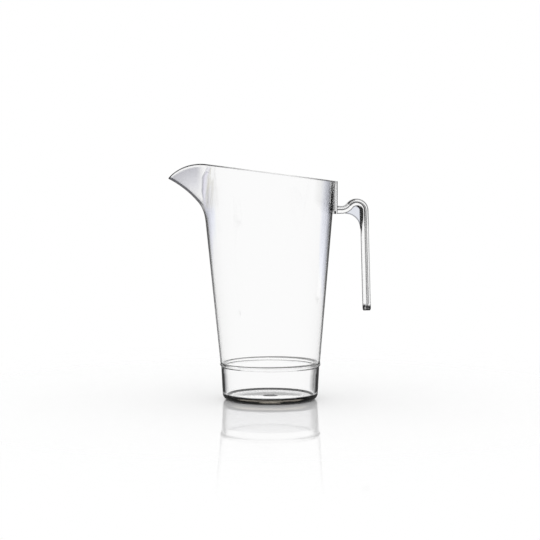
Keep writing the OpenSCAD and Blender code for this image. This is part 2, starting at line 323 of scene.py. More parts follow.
def front_turn(co):
    """Angle of a point from the middle of the spout, in degrees."""
    return math.degrees(math.atan2(co.y, -co.x))


def set_faces(piece, material, wanted):
    """Gives a second material to the faces that are wanted."""
    piece.data.materials.append(material)
    index = len(piece.data.materials) - 1
    for face in piece.data.polygons:
        if wanted(face):
            face.material_index = index


# Pieces

def make_base_cup():
    low_r = CUP_R - CUP_H * math.tan(CUP_DRAFT)
    foot_x = low_r + FOOT_EDGE_R * (math.tan(CUP_DRAFT) - 1 / math.cos(CUP_DRAFT))
    hollow_r = foot_x - FOOT_W
    bend_r = (hollow_r ** 2 + HOLLOW_D ** 2) / (2 * HOLLOW_D)
    rebate_h = CUP_H - TONGUE_D
    inner_r = BORE_R - (rebate_h - FLOOR_T) * math.tan(CUP_DRAFT)
    floor_x = inner_r + FLOOR_EDGE_R * (math.tan(CUP_DRAFT) - 1 / math.cos(CUP_DRAFT))

    def hollow_h(r):
        return HOLLOW_D - bend_r + math.sqrt(bend_r ** 2 - r ** 2)

    edge = 0.5
    gate_h = HOLLOW_D + GATE_D
    rings = [(GATE_R / 2, gate_h), (GATE_R - edge, gate_h)]
    rings += arc(GATE_R - edge, gate_h - edge, edge, 60, 0, 2)
    rings += [(GATE_R + 0.1, hollow_h(GATE_R) + 0.1), (GATE_R + 0.4, hollow_h(GATE_R + 0.4))]
    rings += [(r, hollow_h(r)) for r in (11, 16, 21, 26, 31, 35, 38, hollow_r - 0.4)]
    rings += [(hollow_r + 0.3, 0), (foot_x - 0.5, 0)]
    rings += arc(foot_x, FOOT_EDGE_R, FOOT_EDGE_R, -90, -3, 12)
    rings += arc(CUP_R - edge, CUP_H - edge, edge, 0, 90, 3)
    rings += arc(TONGUE_R + BOND_GAP + 0.3, CUP_H - 0.3, 0.3, 90, 180, 2)
    rings += [(TONGUE_R + BOND_GAP, rebate_h), (BORE_R, rebate_h)]
    rings += arc(floor_x, FLOOR_T + FLOOR_EDGE_R, FLOOR_EDGE_R, -3, -90, 10)
    rings += [(floor_x * 0.75, FLOOR_T), (floor_x * 0.4, FLOOR_T), (GATE_R + 1, FLOOR_T)]
    cup = turned_piece("clear_base_cup", rings)
    bpy.ops.object.mode_set(mode="EDIT")
    bpy.ops.mesh.select_all(action="SELECT")
    bpy.ops.mesh.fill_holes(sides=0)
    face_out(cup)
    return cup


def make_body():
    wall = (226, 186, 165, PANEL_RISE, 120, 90, 60, 30, 10, 2.4, 1.3)
    bead_x = BODY_FOOT_R + BEAD_OUT - BEAD_H / 2
    bead_mid = CUP_H + SEAM_H + BEAD_H / 2
    edge = 0.4
    rings = [(cone_r(h), LEDGE_H + h) for h in wall]
    rings += arc(bead_x, bead_mid, BEAD_H / 2, 50, -90, 9)
    root = SEAM_H / 2
    rings += arc(TONGUE_R + root, CUP_H + SEAM_H - root, root, 90, 180, 2)
    rings += [(TONGUE_R, CUP_H - TONGUE_D), (BORE_R, CUP_H - TONGUE_D)]
    rings += arc(BORE_R + edge, LEDGE_H - edge, edge, 180, 90, 3)
    rings += arc(cone_r(0) - WALL_ACROSS - edge, LEDGE_H + edge, edge, -90, 0, 3)
    rings += [(cone_r(h) - WALL_ACROSS, LEDGE_H + h) for h in reversed(wall)]
    body = turned_piece("clear_body", rings)

    bpy.ops.object.mode_set(mode="EDIT")
    bpy.ops.mesh.select_all(action="SELECT")
    rim_co = (0, 0, (LEDGE_H + RIM_RISE) * MM)
    rim_no = (math.sin(RIM_SLOPE), 0, math.cos(RIM_SLOPE))
    bpy.ops.mesh.bisect(plane_co=rim_co, plane_no=rim_no, clear_outer=True)
    bpy.ops.mesh.select_mode(type="EDGE")
    bpy.ops.mesh.select_all(action="DESELECT")
    bpy.ops.mesh.select_non_manifold()
    bpy.ops.mesh.bridge_edge_loops()
    bpy.ops.object.mode_set(mode="OBJECT")

    def over_rim(co):
        return (co.x * rim_no[0] + (co.z - rim_co[2]) * rim_no[2]) / MM

    def ends(edge):
        return [body.data.vertices[i].co for i in edge.vertices]

    def along_rim(edge):
        a, b = ends(edge)
        level = abs(over_rim(a)) < 0.01 and abs(over_rim(b)) < 0.01
        return level and abs(math.hypot(a.x, a.y) - math.hypot(b.x, b.y)) < 0.8 * MM

    pick(body, "edges", along_rim)
    bpy.ops.mesh.bevel(offset=RIM_ROUND * MM, segments=5, profile=0.5, affect="EDGES")
    bpy.ops.object.mode_set(mode="OBJECT")

    def in_window(face):
        return abs(front_turn(face.center)) < SEAM_TURN and face.center.z > (LEDGE_H + PANEL_RISE) * MM

    pick(body, "polygons", in_window)
    bpy.ops.mesh.delete(type="FACE")
    bpy.ops.mesh.select_mode(type="EDGE")
    bpy.ops.mesh.select_all(action="DESELECT")
    bpy.ops.mesh.select_non_manifold()
    bpy.ops.object.mode_set(mode="OBJECT")
    border = {e.index for e in body.data.edges if e.select}

    def skin_depth(co):
        return (cone_r(co.z / MM - LEDGE_H) * MM - math.hypot(co.x, co.y)) / MM

    def on_one_skin(edge):
        depths = [skin_depth(co) for co in ends(edge)]
        outer = all(abs(d) < 0.05 for d in depths)
        inner = all(abs(d - WALL_ACROSS) < 0.05 for d in depths)
        return edge.index in border and (outer or inner)

    pick(body, "edges", on_one_skin)
    bpy.ops.mesh.bridge_edge_loops()
    bpy.ops.mesh.select_all(action="SELECT")
    bpy.ops.mesh.fill_holes(sides=0)
    face_out(body)
    lean(body)
    add_rail(body)
    return body


def rail_block(name, gap, low_h, high_h):
    root = RAIL_X - RAIL_D
    half = (RAIL_ROOT_W / 2 + gap, RAIL_W / 2 + gap)
    points = [
        (root, -half[0], low_h), (RAIL_X + gap, -half[1], low_h),
        (RAIL_X + gap, half[1], low_h), (root, half[0], low_h),
    ]
    return prism(name, points, (0, 0, high_h - low_h))


def wall_block(name, depth):
    """A solid cone inside a skin of the leaned body wall."""
    start_clean()
    low, high = -BEAD_H / 2, 226
    bpy.ops.mesh.primitive_cone_add(
        vertices=SIDES, radius1=(cone_r(low) - depth) * MM, radius2=(cone_r(high) - depth) * MM,
        depth=(high - low) * MM, location=(0, 0, (high + low) / 2 * MM),
    )
    block = bpy.context.object
    block.name = name
    bpy.ops.object.transform_apply(location=True, rotation=True, scale=True)
    block.rotation_euler = (0, -BODY_LEAN, 0)
    block.location = (0, 0, LEDGE_H * MM)
    bpy.ops.object.transform_apply(location=True, rotation=True, scale=True)
    return block


def above_rim_block(name):
    start_clean()
    bpy.ops.mesh.primitive_cube_add(size=0.4, location=(0, 0, 0.2))
    block = bpy.context.object
    block.name = name
    bpy.ops.object.transform_apply(location=True, rotation=True, scale=True)
    block.rotation_euler = (0, RIM_SLOPE - BODY_LEAN, 0)
    rise = RIM_RISE * MM
    block.location = (-rise * math.sin(BODY_LEAN), 0, LEDGE_H * MM + rise * math.cos(BODY_LEAN))
    bpy.ops.object.transform_apply(location=True, rotation=True, scale=True)
    return block


def add_rail(body):
    rail = rail_block("rail", 0, PLATE_BOTTOM + RAIL_STOP, 260)
    combine(rail, above_rim_block("rail_top"), "DIFFERENCE")
    combine(rail, wall_block("rail_back", WALL_ACROSS / 2), "DIFFERENCE")
    combine(body, rail, "UNION")


def make_spout():
    columns, rows = 104, 64
    start_clean()
    bpy.ops.mesh.primitive_grid_add(x_subdivisions=columns, y_subdivisions=rows, size=1)
    spout = bpy.context.object
    spout.name = "clear_spout"
    places = [(v.co.x + 0.5, v.co.y + 0.5) for v in spout.data.vertices]

    def lay_skin(vertices, depth):
        tops = {}
        for vertex, (across, up) in zip(vertices, places):
            turn = math.radians(SEAM_TURN * (2 * across - 1))
            key = round(across * columns)
            if key not in tops:
                tops[key] = skin_top(turn, depth)
            h = PANEL_RISE + (tops[key] - PANEL_RISE) * up
            r = skin_r(turn, h, depth)
            vertex.co = (-r * math.cos(turn) * MM, r * math.sin(turn) * MM, (LEDGE_H + h) * MM)

    count = len(places)
    bpy.ops.object.mode_set(mode="EDIT")
    bpy.ops.mesh.select_all(action="SELECT")
    bpy.ops.mesh.duplicate()
    bpy.ops.object.mode_set(mode="OBJECT")
    lay_skin(spout.data.vertices[:count], 0)
    lay_skin(spout.data.vertices[count:], BODY_WALL)
    bpy.ops.object.mode_set(mode="EDIT")
    bpy.ops.mesh.select_mode(type="EDGE")
    bpy.ops.mesh.select_all(action="DESELECT")
    bpy.ops.mesh.select_non_manifold()
    bpy.ops.mesh.bridge_edge_loops()
    face_out(spout)

    top = {
        i for i, (across, up) in enumerate(places + places)
        if up > 1 - 0.25 / rows
    }

    def along_lip(edge):
        a, b = edge.vertices
        return a in top and b in top and (a < count) == (b < count)

    pick(spout, "edges", along_lip)
    bpy.ops.mesh.bevel(offset=RIM_ROUND * MM, segments=5, profile=0.5, affect="EDGES")
    bpy.ops.object.mode_set(mode="OBJECT")
    lean(spout)
    return spout


def handle_outline():
    """The handle's section: x runs out from the rib to the strip, and y across."""
    r, corner = HANDLE_EDGE_R, 0.6
    half_strip, half_rib = STRIP_W / 2, RIB_W / 2
    points = arc(STRIP_T - r, half_strip - r, r, 0, 90, 5)
    points += arc(r, half_strip - r, r, 90, 180, 5)
    points += arc(-corner, half_rib + corner, corner, 0, -90, 3)
    points += arc(-RIB_T + r, half_rib - r, r, 90, 180, 5)
    return points + [(x, -y) for x, y in reversed(points)]


def make_handle():
    crest_x = PLATE_X + ARM_L + (NECK_R + CREST_R) * 0.8
    crest_h = ARM_H + NECK_R - (NECK_R + CREST_R) * 0.6
    start = PLATE_X - 1.2
    handle = outline_piece("clear_handle", [(start, y, ARM_H + x) for x, y in handle_outline()])
    bpy.ops.object.mode_set(mode="EDIT")
    bpy.ops.mesh.select_all(action="SELECT")
    bpy.ops.mesh.extrude_edges_move(
        TRANSFORM_OT_translate={"value": ((PLATE_X + ARM_L - start) * MM, 0, 0)}
    )
    bend = math.atan2(0.8, 0.6)
    bpy.ops.mesh.spin(
        steps=12, angle=bend, axis=(0, 1, 0),
        center=((PLATE_X + ARM_L) * MM, 0, (ARM_H + NECK_R) * MM),
    )
    bpy.ops.mesh.spin(
        steps=32, angle=GRIP_SPLAY - bend - math.pi / 2, axis=(0, 1, 0),
        center=(crest_x * MM, 0, crest_h * MM),
    )
    run = (math.sin(GRIP_SPLAY), -math.cos(GRIP_SPLAY))
    straight = GRIP_L - GRIP_END_R
    step_along(run, straight)
    steps = 10
    end_r = 1.2
    past = [(GRIP_END_R - end_r) * math.sin(math.pi / 2 * i / steps) for i in range(steps + 1)]
    for i in range(1, steps + 1):
        step_along(run, past[i] - past[i - 1])
        half = STRIP_W / 2 - GRIP_END_R + GRIP_END_R * math.cos(math.pi / 2 * i / steps)
        bpy.ops.object.mode_set(mode="OBJECT")
        for vertex in handle.data.vertices:
            if vertex.select:
                vertex.co.y = max(-half * MM, min(half * MM, vertex.co.y))
        bpy.ops.object.mode_set(mode="EDIT")
    size = 1
    for i in range(1, 5):
        turn = math.pi / 2 * i / 4
        step_along(run, end_r * (math.sin(turn) - math.sin(turn - math.pi / 8)))
        new_size = 1 - end_r * (1 - math.cos(turn)) / 4
        bpy.ops.transform.resize(value=(new_size / size,) * 3)
        size = new_size
    bpy.ops.mesh.select_all(action="SELECT")
    bpy.ops.mesh.fill_holes(sides=0)
    face_out(handle)
    for material in (handle_plastic, handle_edge_plastic, web_plastic, plate_plastic):
        handle.data.materials.append(material)
    for face in handle.data.polygons:
        low_end = face.center.z < (crest_h - GRIP_L + 1.5) * MM
        if low_end or 0.12 < abs(face.normal.y) < 0.985:
            face.material_index = 1
    combine(handle, gusset_block(crest_x, crest_h), "UNION")
    combine(handle, plate_block(), "UNION")
    combine(handle, fillet_block(), "UNION")
    return handle


def step_along(run, length):
    bpy.ops.mesh.extrude_edges_move(
        TRANSFORM_OT_translate={"value": (run[0] * length * MM, 0, run[1] * length * MM)}
    )


def gusset_block(crest_x, crest_h):
    """Thin web in the corner between arm and grip, its outer edges inside the rib."""
    web_x = crest_x + CREST_R - RIB_T - GUSSET_R
    web_h = PLATE_BOTTOM - GUSSET_R
    neck_x, neck_h = PLATE_X + ARM_L, ARM_H + NECK_R
    inner = CREST_R - RIB_T / 2
    outline = arc(web_x, web_h, GUSSET_R, 90, 0, 16)
    outline += [(web_x + GUSSET_R + RIB_T / 2, web_h)]
    outline += arc(crest_x, crest_h, inner, 0, 143.13, 16)
    outline += arc(neck_x, neck_h, NECK_R + RIB_T / 2, -36.87, -67, 8)
    web = prism("gusset", [(x, -GUSSET_T / 2, h) for x, h in outline], (0, GUSSET_T, 0))
    for material in (handle_plastic, handle_edge_plastic, web_plastic):
        web.data.materials.append(material)
    for face in web.data.polygons:
        face.material_index = 2 if abs(face.normal.y) > 0.9 else 1
    return web


def plate_block():
    half, r = PLATE_W / 2, 1.5
    back = RAIL_X - RAIL_D
    outline = [(back, -half)] + arc(PLATE_X - r, -half + r, r, -90, 0, 4)
    outline += arc(PLATE_X - r, half - r, r, 0, 90, 4) + [(back, half)]
    plate = prism("plate", [(x, y, PLATE_BOTTOM) for x, y in outline], (0, 0, 60))
    for material in (handle_plastic, handle_edge_plastic, web_plastic, plate_plastic):
        plate.data.materials.append(material)
    for face in plate.data.polygons:
        if abs(face.normal.y) > 0.985:
            face.material_index = 3
        elif abs(face.normal.y) > 0.05:
            face.material_index = 1
    combine(plate, wall_block("plate_back", -BOND_GAP), "DIFFERENCE")
    slot = rail_block("slot", BOND_GAP, PLATE_BOTTOM + RAIL_STOP - BOND_GAP, 270)
    combine(plate, slot, "DIFFERENCE")
    combine(plate, above_rim_block("plate_top"), "DIFFERENCE")
    return plate


def fillet_block():
    r, sunk = ARM_FILLET_R, 0.3
    x, h = PLATE_X, ARM_H + STRIP_T
    half = STRIP_W / 2 - HANDLE_EDGE_R
    outline = [(x - sunk, h - sunk)] + [(x + r, h - sunk)]
    outline += arc(x + r, h + r, r, -90, -180, 8) + [(x - sunk, h + r)]
    return prism("arm_fillet", [(a, -half, b) for a, b in outline], (0, 2 * half, 0))


def finish_piece(piece, material, node):
    take(piece)
    bpy.ops.object.shade_smooth_by_angle(angle=math.radians(32))
    even = piece.modifiers.new("even_normals", "WEIGHTED_NORMAL")
    even.mode = "FACE_AREA"
    even.weight = 50
    even.keep_sharp = True
    bpy.ops.object.modifier_apply(modifier=even.name)
    if not piece.data.materials:
        piece.data.materials.append(material)
    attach(piece, "root")
    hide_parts(node)


# Finishes: clear plastic whose colour carries painted shade and painted light

def grey(light):
    return light, light, light


class Nodes:
    """A node tree under way, with the few kinds of node that the finishes share."""

    def __init__(self, tree):
        self.tree = tree

    def node(self, kind, **settings):
        node = self.tree.nodes.new(kind)
        for key, value in settings.items():
            setattr(node, key, value)
        return node

    def put(self, value, socket):
        if isinstance(value, bpy.types.NodeSocket):
            self.tree.links.new(value, socket)
        elif isinstance(value, tuple):
            socket.default_value = (*value, 1)
        else:
            socket.default_value = value

    def math(self, operation, *values):
        node = self.node("ShaderNodeMath", operation=operation)
        for value, socket in zip(values, node.inputs):
            self.put(value, socket)
        return node.outputs[0]

    def ramp(self, way_in, stops, low=0, high=1):
        """Colours at places between a low and a high value."""
        node = self.node("ShaderNodeValToRGB")
        elements = node.color_ramp.elements
        while len(elements) < len(stops):
            elements.new(0.5)
        for element, (place, colour) in zip(elements, stops):
            element.position = (place - low) / (high - low)
            element.color = (*colour, 1)
        if (low, high) != (0, 1):
            way_in = self.spread(way_in, low, high, 0, 1)
        self.put(way_in, node.inputs["Fac"])
        return node.outputs["Color"]

    def spread(self, way_in, low, high, first, last, kind="LINEAR"):
        """Goes from a first value to a last one, between a low and a high value."""
        node = self.node("ShaderNodeMapRange", interpolation_type=kind)
        self.put(way_in, node.inputs["Value"])
        for socket, value in zip(("From Min", "From Max", "To Min", "To Max"), (low, high, first, last)):
            node.inputs[socket].default_value = value
        return node.outputs["Result"]

    def times(self, first, *others):
        for other in others:
            first = self.math("MULTIPLY", first, other)
        return first

    def distance(self, x, y):
        return self.math("SQRT", self.math("ADD", self.times(x, x), self.times(y, y)))

    def rise(self, way_in, low, high):
        return self.spread(way_in, low, high, 0, 1, "SMOOTHSTEP")

    def mix(self, share, first, second, blend="MIX"):
        node = self.node("ShaderNodeMix", data_type="RGBA", blend_type=blend)
        self.put(share, node.inputs[0])
        self.put(first, node.inputs[6])
        self.put(second, node.inputs[7])
        return node.outputs[2]


def node_group(name, inputs, outputs):
    """An empty shader node group with its named sockets."""
    tree = bpy.data.node_groups.new(name, "ShaderNodeTree")
    for way, sockets in (("INPUT", inputs), ("OUTPUT", outputs)):
        for socket, kind in sockets:
            tree.interface.new_socket(name=socket, in_out=way, socket_type="NodeSocket" + kind)
    nodes = Nodes(tree)
    return nodes, nodes.node("NodeGroupInput").outputs, nodes.node("NodeGroupOutput").inputs


def make_place_group():
    """The place on a piece in millimetres, from spout to handle, across, and up."""
    nodes, given, result = node_group(
        "place_in_mm", [], [("Along", "Float"), ("Across", "Float"), ("Up", "Float")]
    )
    coords = nodes.node("ShaderNodeTexCoord")
    split = nodes.node("ShaderNodeSeparateXYZ")
    nodes.put(coords.outputs["Object"], split.inputs[0])
    for axis, socket in zip(split.outputs, result):
        nodes.put(nodes.math("MULTIPLY", axis, 1000), socket)
    return nodes.tree


def make_inside_group():
    """What clear plastic does to light at one face, through colours that are painted shade. The first face
    that light meets lets in a share of it, a face that it leaves by lets out a share, light that was turned
    back inside takes the inner colours, and one colour acts at every face."""
    nodes, given, result = node_group(
        "light_inside",
        [("Transmission Depth", "Float"), ("Glossy Depth", "Float"), ("Leaving", "Float"),
         ("Let In", "Color"), ("Let Out", "Color"),
         ("Turned Once", "Color"), ("Turned Often", "Color"), ("Every Face", "Color")],
        [("Color", "Color")],
    )
    once = nodes.math("GREATER_THAN", given["Glossy Depth"], 0.5)
    often = nodes.math("GREATER_THAN", given["Glossy Depth"], 1.5)
    inner = nodes.mix(once, WHITE, given["Turned Once"])
    inner = nodes.mix(often, inner, given["Turned Often"])
    first = nodes.math("COMPARE", given["Transmission Depth"], 0, 0.5)
    second = nodes.math("COMPARE", given["Transmission Depth"], 1, 0.5)
    let_in = nodes.mix(1, given["Let In"], given["Let In"], "MULTIPLY")
    let_out = nodes.mix(1, given["Let Out"], given["Let Out"], "MULTIPLY")
    colour = nodes.mix(first, WHITE, let_in)
    colour = nodes.mix(second, colour, inner)
    colour = nodes.mix(given["Leaving"], colour, nodes.mix(1, colour, let_out, "MULTIPLY"))
    nodes.put(nodes.mix(1, colour, given["Every Face"], "MULTIPLY"), result["Color"])
    return nodes.tree


def make_surface_group():
    """The faint unevenness of moulded plastic."""
    nodes, given, result = node_group("moulded_surface", [], [("Roughness", "Float"), ("Height", "Float")])
    coords = nodes.node("ShaderNodeTexCoord")
    for scale, socket, low, high in ((60, "Roughness", 0, 0.012), (16, "Height", 0, 1)):
        noise = nodes.node("ShaderNodeTexNoise")
        noise.inputs["Scale"].default_value = scale
        nodes.put(coords.outputs["Object"], noise.inputs["Vector"])
        nodes.put(nodes.spread(noise.outputs["Fac"], 0.4, 0.7, low, high), result[socket])
    return nodes.tree


place_group = make_place_group()
inside_group = make_inside_group()
surface_group = make_surface_group()


class Finish(Nodes):
    """A material under way."""

    def __init__(self, name):
        self.material = bpy.data.materials.new(name)
        self.material.use_nodes = True
        super().__init__(self.material.node_tree)
        self.shader = self.tree.nodes["Principled BSDF"]
        self.shader.inputs["Transmission Weight"].default_value = 1
        self.shader.inputs["IOR"].default_value = IOR
        self.surface = self.node("ShaderNodeGroup", node_tree=surface_group).outputs
        self.put(self.surface["Roughness"], self.shader.inputs["Roughness"])
        bump = self.node("ShaderNodeBump")
        bump.inputs["Strength"].default_value = 0.02
        bump.inputs["Distance"].default_value = 0.001
        self.put(self.surface["Height"], bump.inputs["Height"])
        self.put(bump.outputs["Normal"], self.shader.inputs["Normal"])

    def place(self):
        return self.node("ShaderNodeGroup", node_tree=place_group).outputs

    def slant(self):
        """0 where a face is seen edge on, and 1 where it is seen square."""
        weight = self.node("ShaderNodeLayerWeight")
        weight.inputs["Blend"].default_value = 0.5
        return self.math("SUBTRACT", 1, weight.outputs["Facing"])

    def shares(self, way_in, stops, low=0, high=1):
        """Shares of light at places between a low and a high value."""
        return self.ramp(way_in, [(place, grey(share)) for place, share in stops], low, high)

    def fall(self, way_in, low, high):
        return self.spread(way_in, low, high, 1, 0, "SMOOTHSTEP")

    def dim(self, light, share, mark):
        """Leaves only a share of the light where the mark is."""
        return self.mix(mark, light, self.mix(1, light, share, "MULTIPLY"))

    def through_outside(self, place):
        """1 where light leaves by an outer face, which looks away from the middle of the jug."""
        face = self.node("ShaderNodeNewGeometry")
        away = self.node("ShaderNodeCombineXYZ")
        self.put(place["Along"], away.inputs[0])
        self.put(place["Across"], away.inputs[1])
        side = self.node("ShaderNodeVectorMath", operation="DOT_PRODUCT")
        self.put(face.outputs["Normal"], side.inputs[0])
        self.put(away.outputs[0], side.inputs[1])
        return self.times(face.outputs["Backfacing"], self.math("LESS_THAN", side.outputs["Value"], 0))

    def clear(
        self, turned_once, turned_often, let_in=WHITE, let_out=WHITE, leaving=0, every_face=WHITE
    ):
        path = self.node("ShaderNodeLightPath")
        inside = self.node("ShaderNodeGroup", node_tree=inside_group)
        for depth in ("Transmission Depth", "Glossy Depth"):
            self.put(path.outputs[depth], inside.inputs[depth])
        for value, socket in zip(
            (leaving, let_in, let_out, turned_once, turned_often, every_face),
            ("Leaving", "Let In", "Let Out", "Turned Once", "Turned Often", "Every Face"),
        ):
            self.put(value, inside.inputs[socket])
        self.put(inside.outputs["Color"], self.shader.inputs["Base Color"])
        return self.material


def welded_joint():
    """Faces inside a welded joint, where two clear pieces have become one."""
    finish = Finish("welded_joint")
    finish.shader.inputs["Alpha"].default_value = 0
    return finish.material


# Painted shade at the edges of the walls: how square a wall is seen, and the share of light that shows
# there
PLATE_EDGE = [(0.32, 0.03), (0.38, 0.36), (0.55, 0.76), (0.76, 1)]
HIGH_EDGE = [(0.20, 0.03), (0.26, 0.24), (0.40, 0.66), (0.60, 1)]
MIDDLE_EDGE = [(0.21, 0.16), (0.29, 0.74), (0.43, 1)]
LOW_EDGE = [(0.22, 0.38), (0.29, 1)]
CUP_SPOUT_EDGE = [(0.30, 0.04), (0.36, 0.50), (0.52, 1)]
CUP_HANDLE_EDGE = [(0.31, 0.04), (0.37, 0.44), (0.44, 0.34), (0.60, 1)]


def seen_inside(slant):
    """How square a face looks from inside to light that came in at a slant."""
    return math.sqrt(1 - (1 - slant ** 2) / IOR ** 2)


def let_through(edge):
    """Shares to let out, so that they and what the face mirrors add up to the painted shade of an edge."""
    stops = []
    for slant, light in edge:
        inside = seen_inside(slant)
        across = (slant - IOR * inside) / (slant + IOR * inside)
        along = (IOR * slant - inside) / (IOR * slant + inside)
        mirrored = (across ** 2 + along ** 2) / 2
        stops.append((inside, max(0, (light - MIRRORED * mirrored) / (1 - mirrored))))
    return stops


def wall_edge(finish, place):
    """The painted shade at the wall's edge is grey, wide at the top on the handle's side, and narrow below,
    with a painted blue band higher up. It is laid where light leaves, because light that leaves a round
    wall does so at the slant it came in."""
    rise = finish.math("MULTIPLY_ADD", place["Along"], 0.4, place["Up"])
    slant = finish.slant()
    light = finish.shares(slant, let_through(LOW_EDGE), *INSIDE_SLANTS)
    for edge, start, end in ((MIDDLE_EDGE, 60, 130), (HIGH_EDGE, 130, 205), (PLATE_EDGE, 218, 230)):
        higher = finish.shares(slant, let_through(edge), *INSIDE_SLANTS)
        light = finish.mix(finish.spread(rise, start, end, 0, 1), light, higher)
    # Painted shade: a blue band just inside the grey edge, which fades in with height
    blue = finish.ramp(slant, [
        (seen_inside(0.24), WHITE), (seen_inside(0.30), (0.88, 0.90, 1)),
        (seen_inside(0.50), (0.90, 0.92, 1)), (seen_inside(0.62), WHITE),
    ], *INSIDE_SLANTS)
    blue = finish.mix(finish.rise(rise, 100, 170), WHITE, blue)
    return finish.mix(1, light, blue, "MULTIPLY")


def body_finish():
    finish = Finish("clear_body_plastic")
    place = finish.place()
    slope = RIM_SLOPE - BODY_LEAN
    below = finish.math("MULTIPLY_ADD", place["Along"], -math.tan(slope), finish.times(place["Up"], -1))
    below = finish.math("ADD", below, LEDGE_H + RIM_RISE - RIM_RISE * math.sin(BODY_LEAN) * math.tan(slope))
    # Painted shade: a dark line along the top of the rim, darkest towards the spout and the handle
    rim = finish.shares(place["Along"], [(-60, 0.1), (-20, 0.7), (20, 0.8), (66, 0.1)], -80, 80)
    rim = finish.dim(WHITE, rim, finish.fall(below, 0.9, 1.8))
    # Painted shade at the wall's edges, none on the handle's side past 67 mm from the middle
    wall = finish.mix(finish.rise(place["Along"], 66.5, 67.2), wall_edge(finish, place), WHITE)
    # Light turned back inside more than once is painted a little darker, as painted shade
    return finish.clear(WHITE, (0.9, 0.9, 0.92), rim, wall, finish.through_outside(place))


def spout_finish():
    """The beak has painted shade: it is greyer below its clear lip, with painted dark lines beside two soft
    creases where it leaves the body, a painted dark line along the top of the lip, and light turned back
    inside its upper part painted nearly black.
    """
    finish = Finish("clear_spout_plastic")
    place = finish.place()
    along, up = place["Along"], place["Up"]
    tilt = math.sin(BODY_LEAN)
    risen = finish.math("SUBTRACT", up, LEDGE_H)
    out = finish.math("MULTIPLY_ADD", risen, -tilt, finish.times(along, -1))
    height = finish.math("SUBTRACT", finish.math("MULTIPLY_ADD", along, -tilt, up), LEDGE_H)
    past = finish.math("MAXIMUM", finish.math("SUBTRACT", out, LIP_X), LIP_START - LIP_X)
    bend = finish.math("SQRT", finish.math("SUBTRACT", LIP_BEND_R ** 2, finish.times(past, past)))
    before = finish.math("MINIMUM", finish.math("SUBTRACT", out, LIP_START), 0)
    lip_up = finish.math("ADD", finish.math("MULTIPLY_ADD", before, math.tan(RIM_SLOPE), bend), LIP_H)
    below_lip = finish.math("SUBTRACT", lip_up, height)
    # Painted shade: the beak greyer below its lip, fading out towards the body
    shade = finish.ramp(below_lip, [
        (2.2, WHITE), (3.4, (0.75, 0.75, 0.775)), (9, (0.79, 0.79, 0.815)),
        (20, (0.88, 0.88, 0.90)), (36, WHITE),
    ], 0, 40)
    shade = finish.mix(finish.rise(out, 66, 76), WHITE, shade)
    # Painted shade along the two creases: a dark line on each side of a pale bluish band
    crease_way = finish.node("ShaderNodeSeparateColor")
    finish.put(finish.ramp(height, [
        (163.5, (0.670, 0.105, 0)), (181.5, (0.693, 0.32, 0)),
        (197.5, (0.647, 0.32, 0)), (212, (0.213, 0.105, 0)),
    ], 150, 220), crease_way.inputs[0])
    middle = finish.math("MULTIPLY_ADD", crease_way.outputs[0], 15, 55)
    half = finish.times(crease_way.outputs[1], 10)
    beside = finish.math("DIVIDE", finish.math("SUBTRACT", out, middle), half)
    crease = finish.ramp(beside, [
        (-1.5, WHITE), (-1.0, (0.80, 0.79, 0.74)), (-0.6, (0.93, 0.93, 0.95)),
        (0.6, (0.90, 0.895, 0.95)), (1.0, (0.58, 0.58, 0.61)), (1.25, WHITE),
    ], -2, 2)
    on_crease = finish.times(finish.rise(height, 150, 165), finish.rise(below_lip, 1, 5))
    shade = finish.mix(1, shade, finish.mix(on_crease, WHITE, crease), "MULTIPLY")
    # Painted shade: a dark line along the top of the lip
    lip = finish.dim(WHITE, grey(0.12), finish.fall(below_lip, 0.9, 1.7))
    thick = finish.rise(height, THROAT_RISE - 4, THROAT_RISE + 8)
    wall = finish.mix(thick, wall_edge(finish, place), WHITE)
    # Painted shade: above the throat, light turned back inside is nearly black
    turned_once = finish.mix(thick, WHITE, (0.03, 0.03, 0.035))
    turned_often = finish.mix(thick, (0.9, 0.9, 0.92), grey(0.02))
    return finish.clear(turned_once, turned_often, lip, wall, finish.through_outside(place), shade)


def cup_finish():
    """The thick corner at the foot has painted shade, black from outside, with a painted brown light in its
    nearest part;
    the cup wall above it has painted shade at its edges.
    """
    finish = Finish("clear_base_plastic")
    place = finish.place()
    up = place["Up"]
    slant = finish.slant()
    # Painted shade at the cup wall's edges, different towards the spout and the handle
    wall = finish.mix(
        finish.rise(place["Along"], -15, 15),
        finish.shares(slant, let_through(CUP_SPOUT_EDGE), *INSIDE_SLANTS),
        finish.shares(slant, let_through(CUP_HANDLE_EDGE), *INSIDE_SLANTS),
    )
    wall = finish.mix(finish.rise(up, 6, 8), WHITE, wall)
    # Painted light: a brown band where the foot is seen most square, inside the painted black of the foot
    near = finish.rise(finish.math("MULTIPLY_ADD", up, -0.06, slant), 0.36, 0.48)
    foot = finish.ramp(up, [
        (0.3, (0.16, 0.15, 0.13)), (1.4, (0.05, 0.045, 0.04)), (2.6, (0.38, 0.35, 0.30)),
        (3.9, (0.44, 0.40, 0.34)), (5.2, grey(0.01)), (6.3, grey(0.01)), (7.5, WHITE),
    ], 0, 10)
    foot = finish.mix(near, finish.shares(up, [(0, 0.01), (6.6, 0.01), (7.6, 1)], 0, 10), foot)
    scuffs = finish.math("MAXIMUM", finish.surface["Roughness"], finish.spread(up, 0.2, 0.4, 0.25, 0))
    finish.put(scuffs, finish.shader.inputs["Roughness"])
    # Light turned back inside is painted grey, as painted shade
    return finish.clear((0.6, 0.6, 0.62), grey(0.3), foot, wall, finish.through_outside(place))


CREST_X = PLATE_X + ARM_L + (NECK_R + CREST_R) * 0.8
CREST_H = ARM_H + NECK_R - (NECK_R + CREST_R) * 0.6


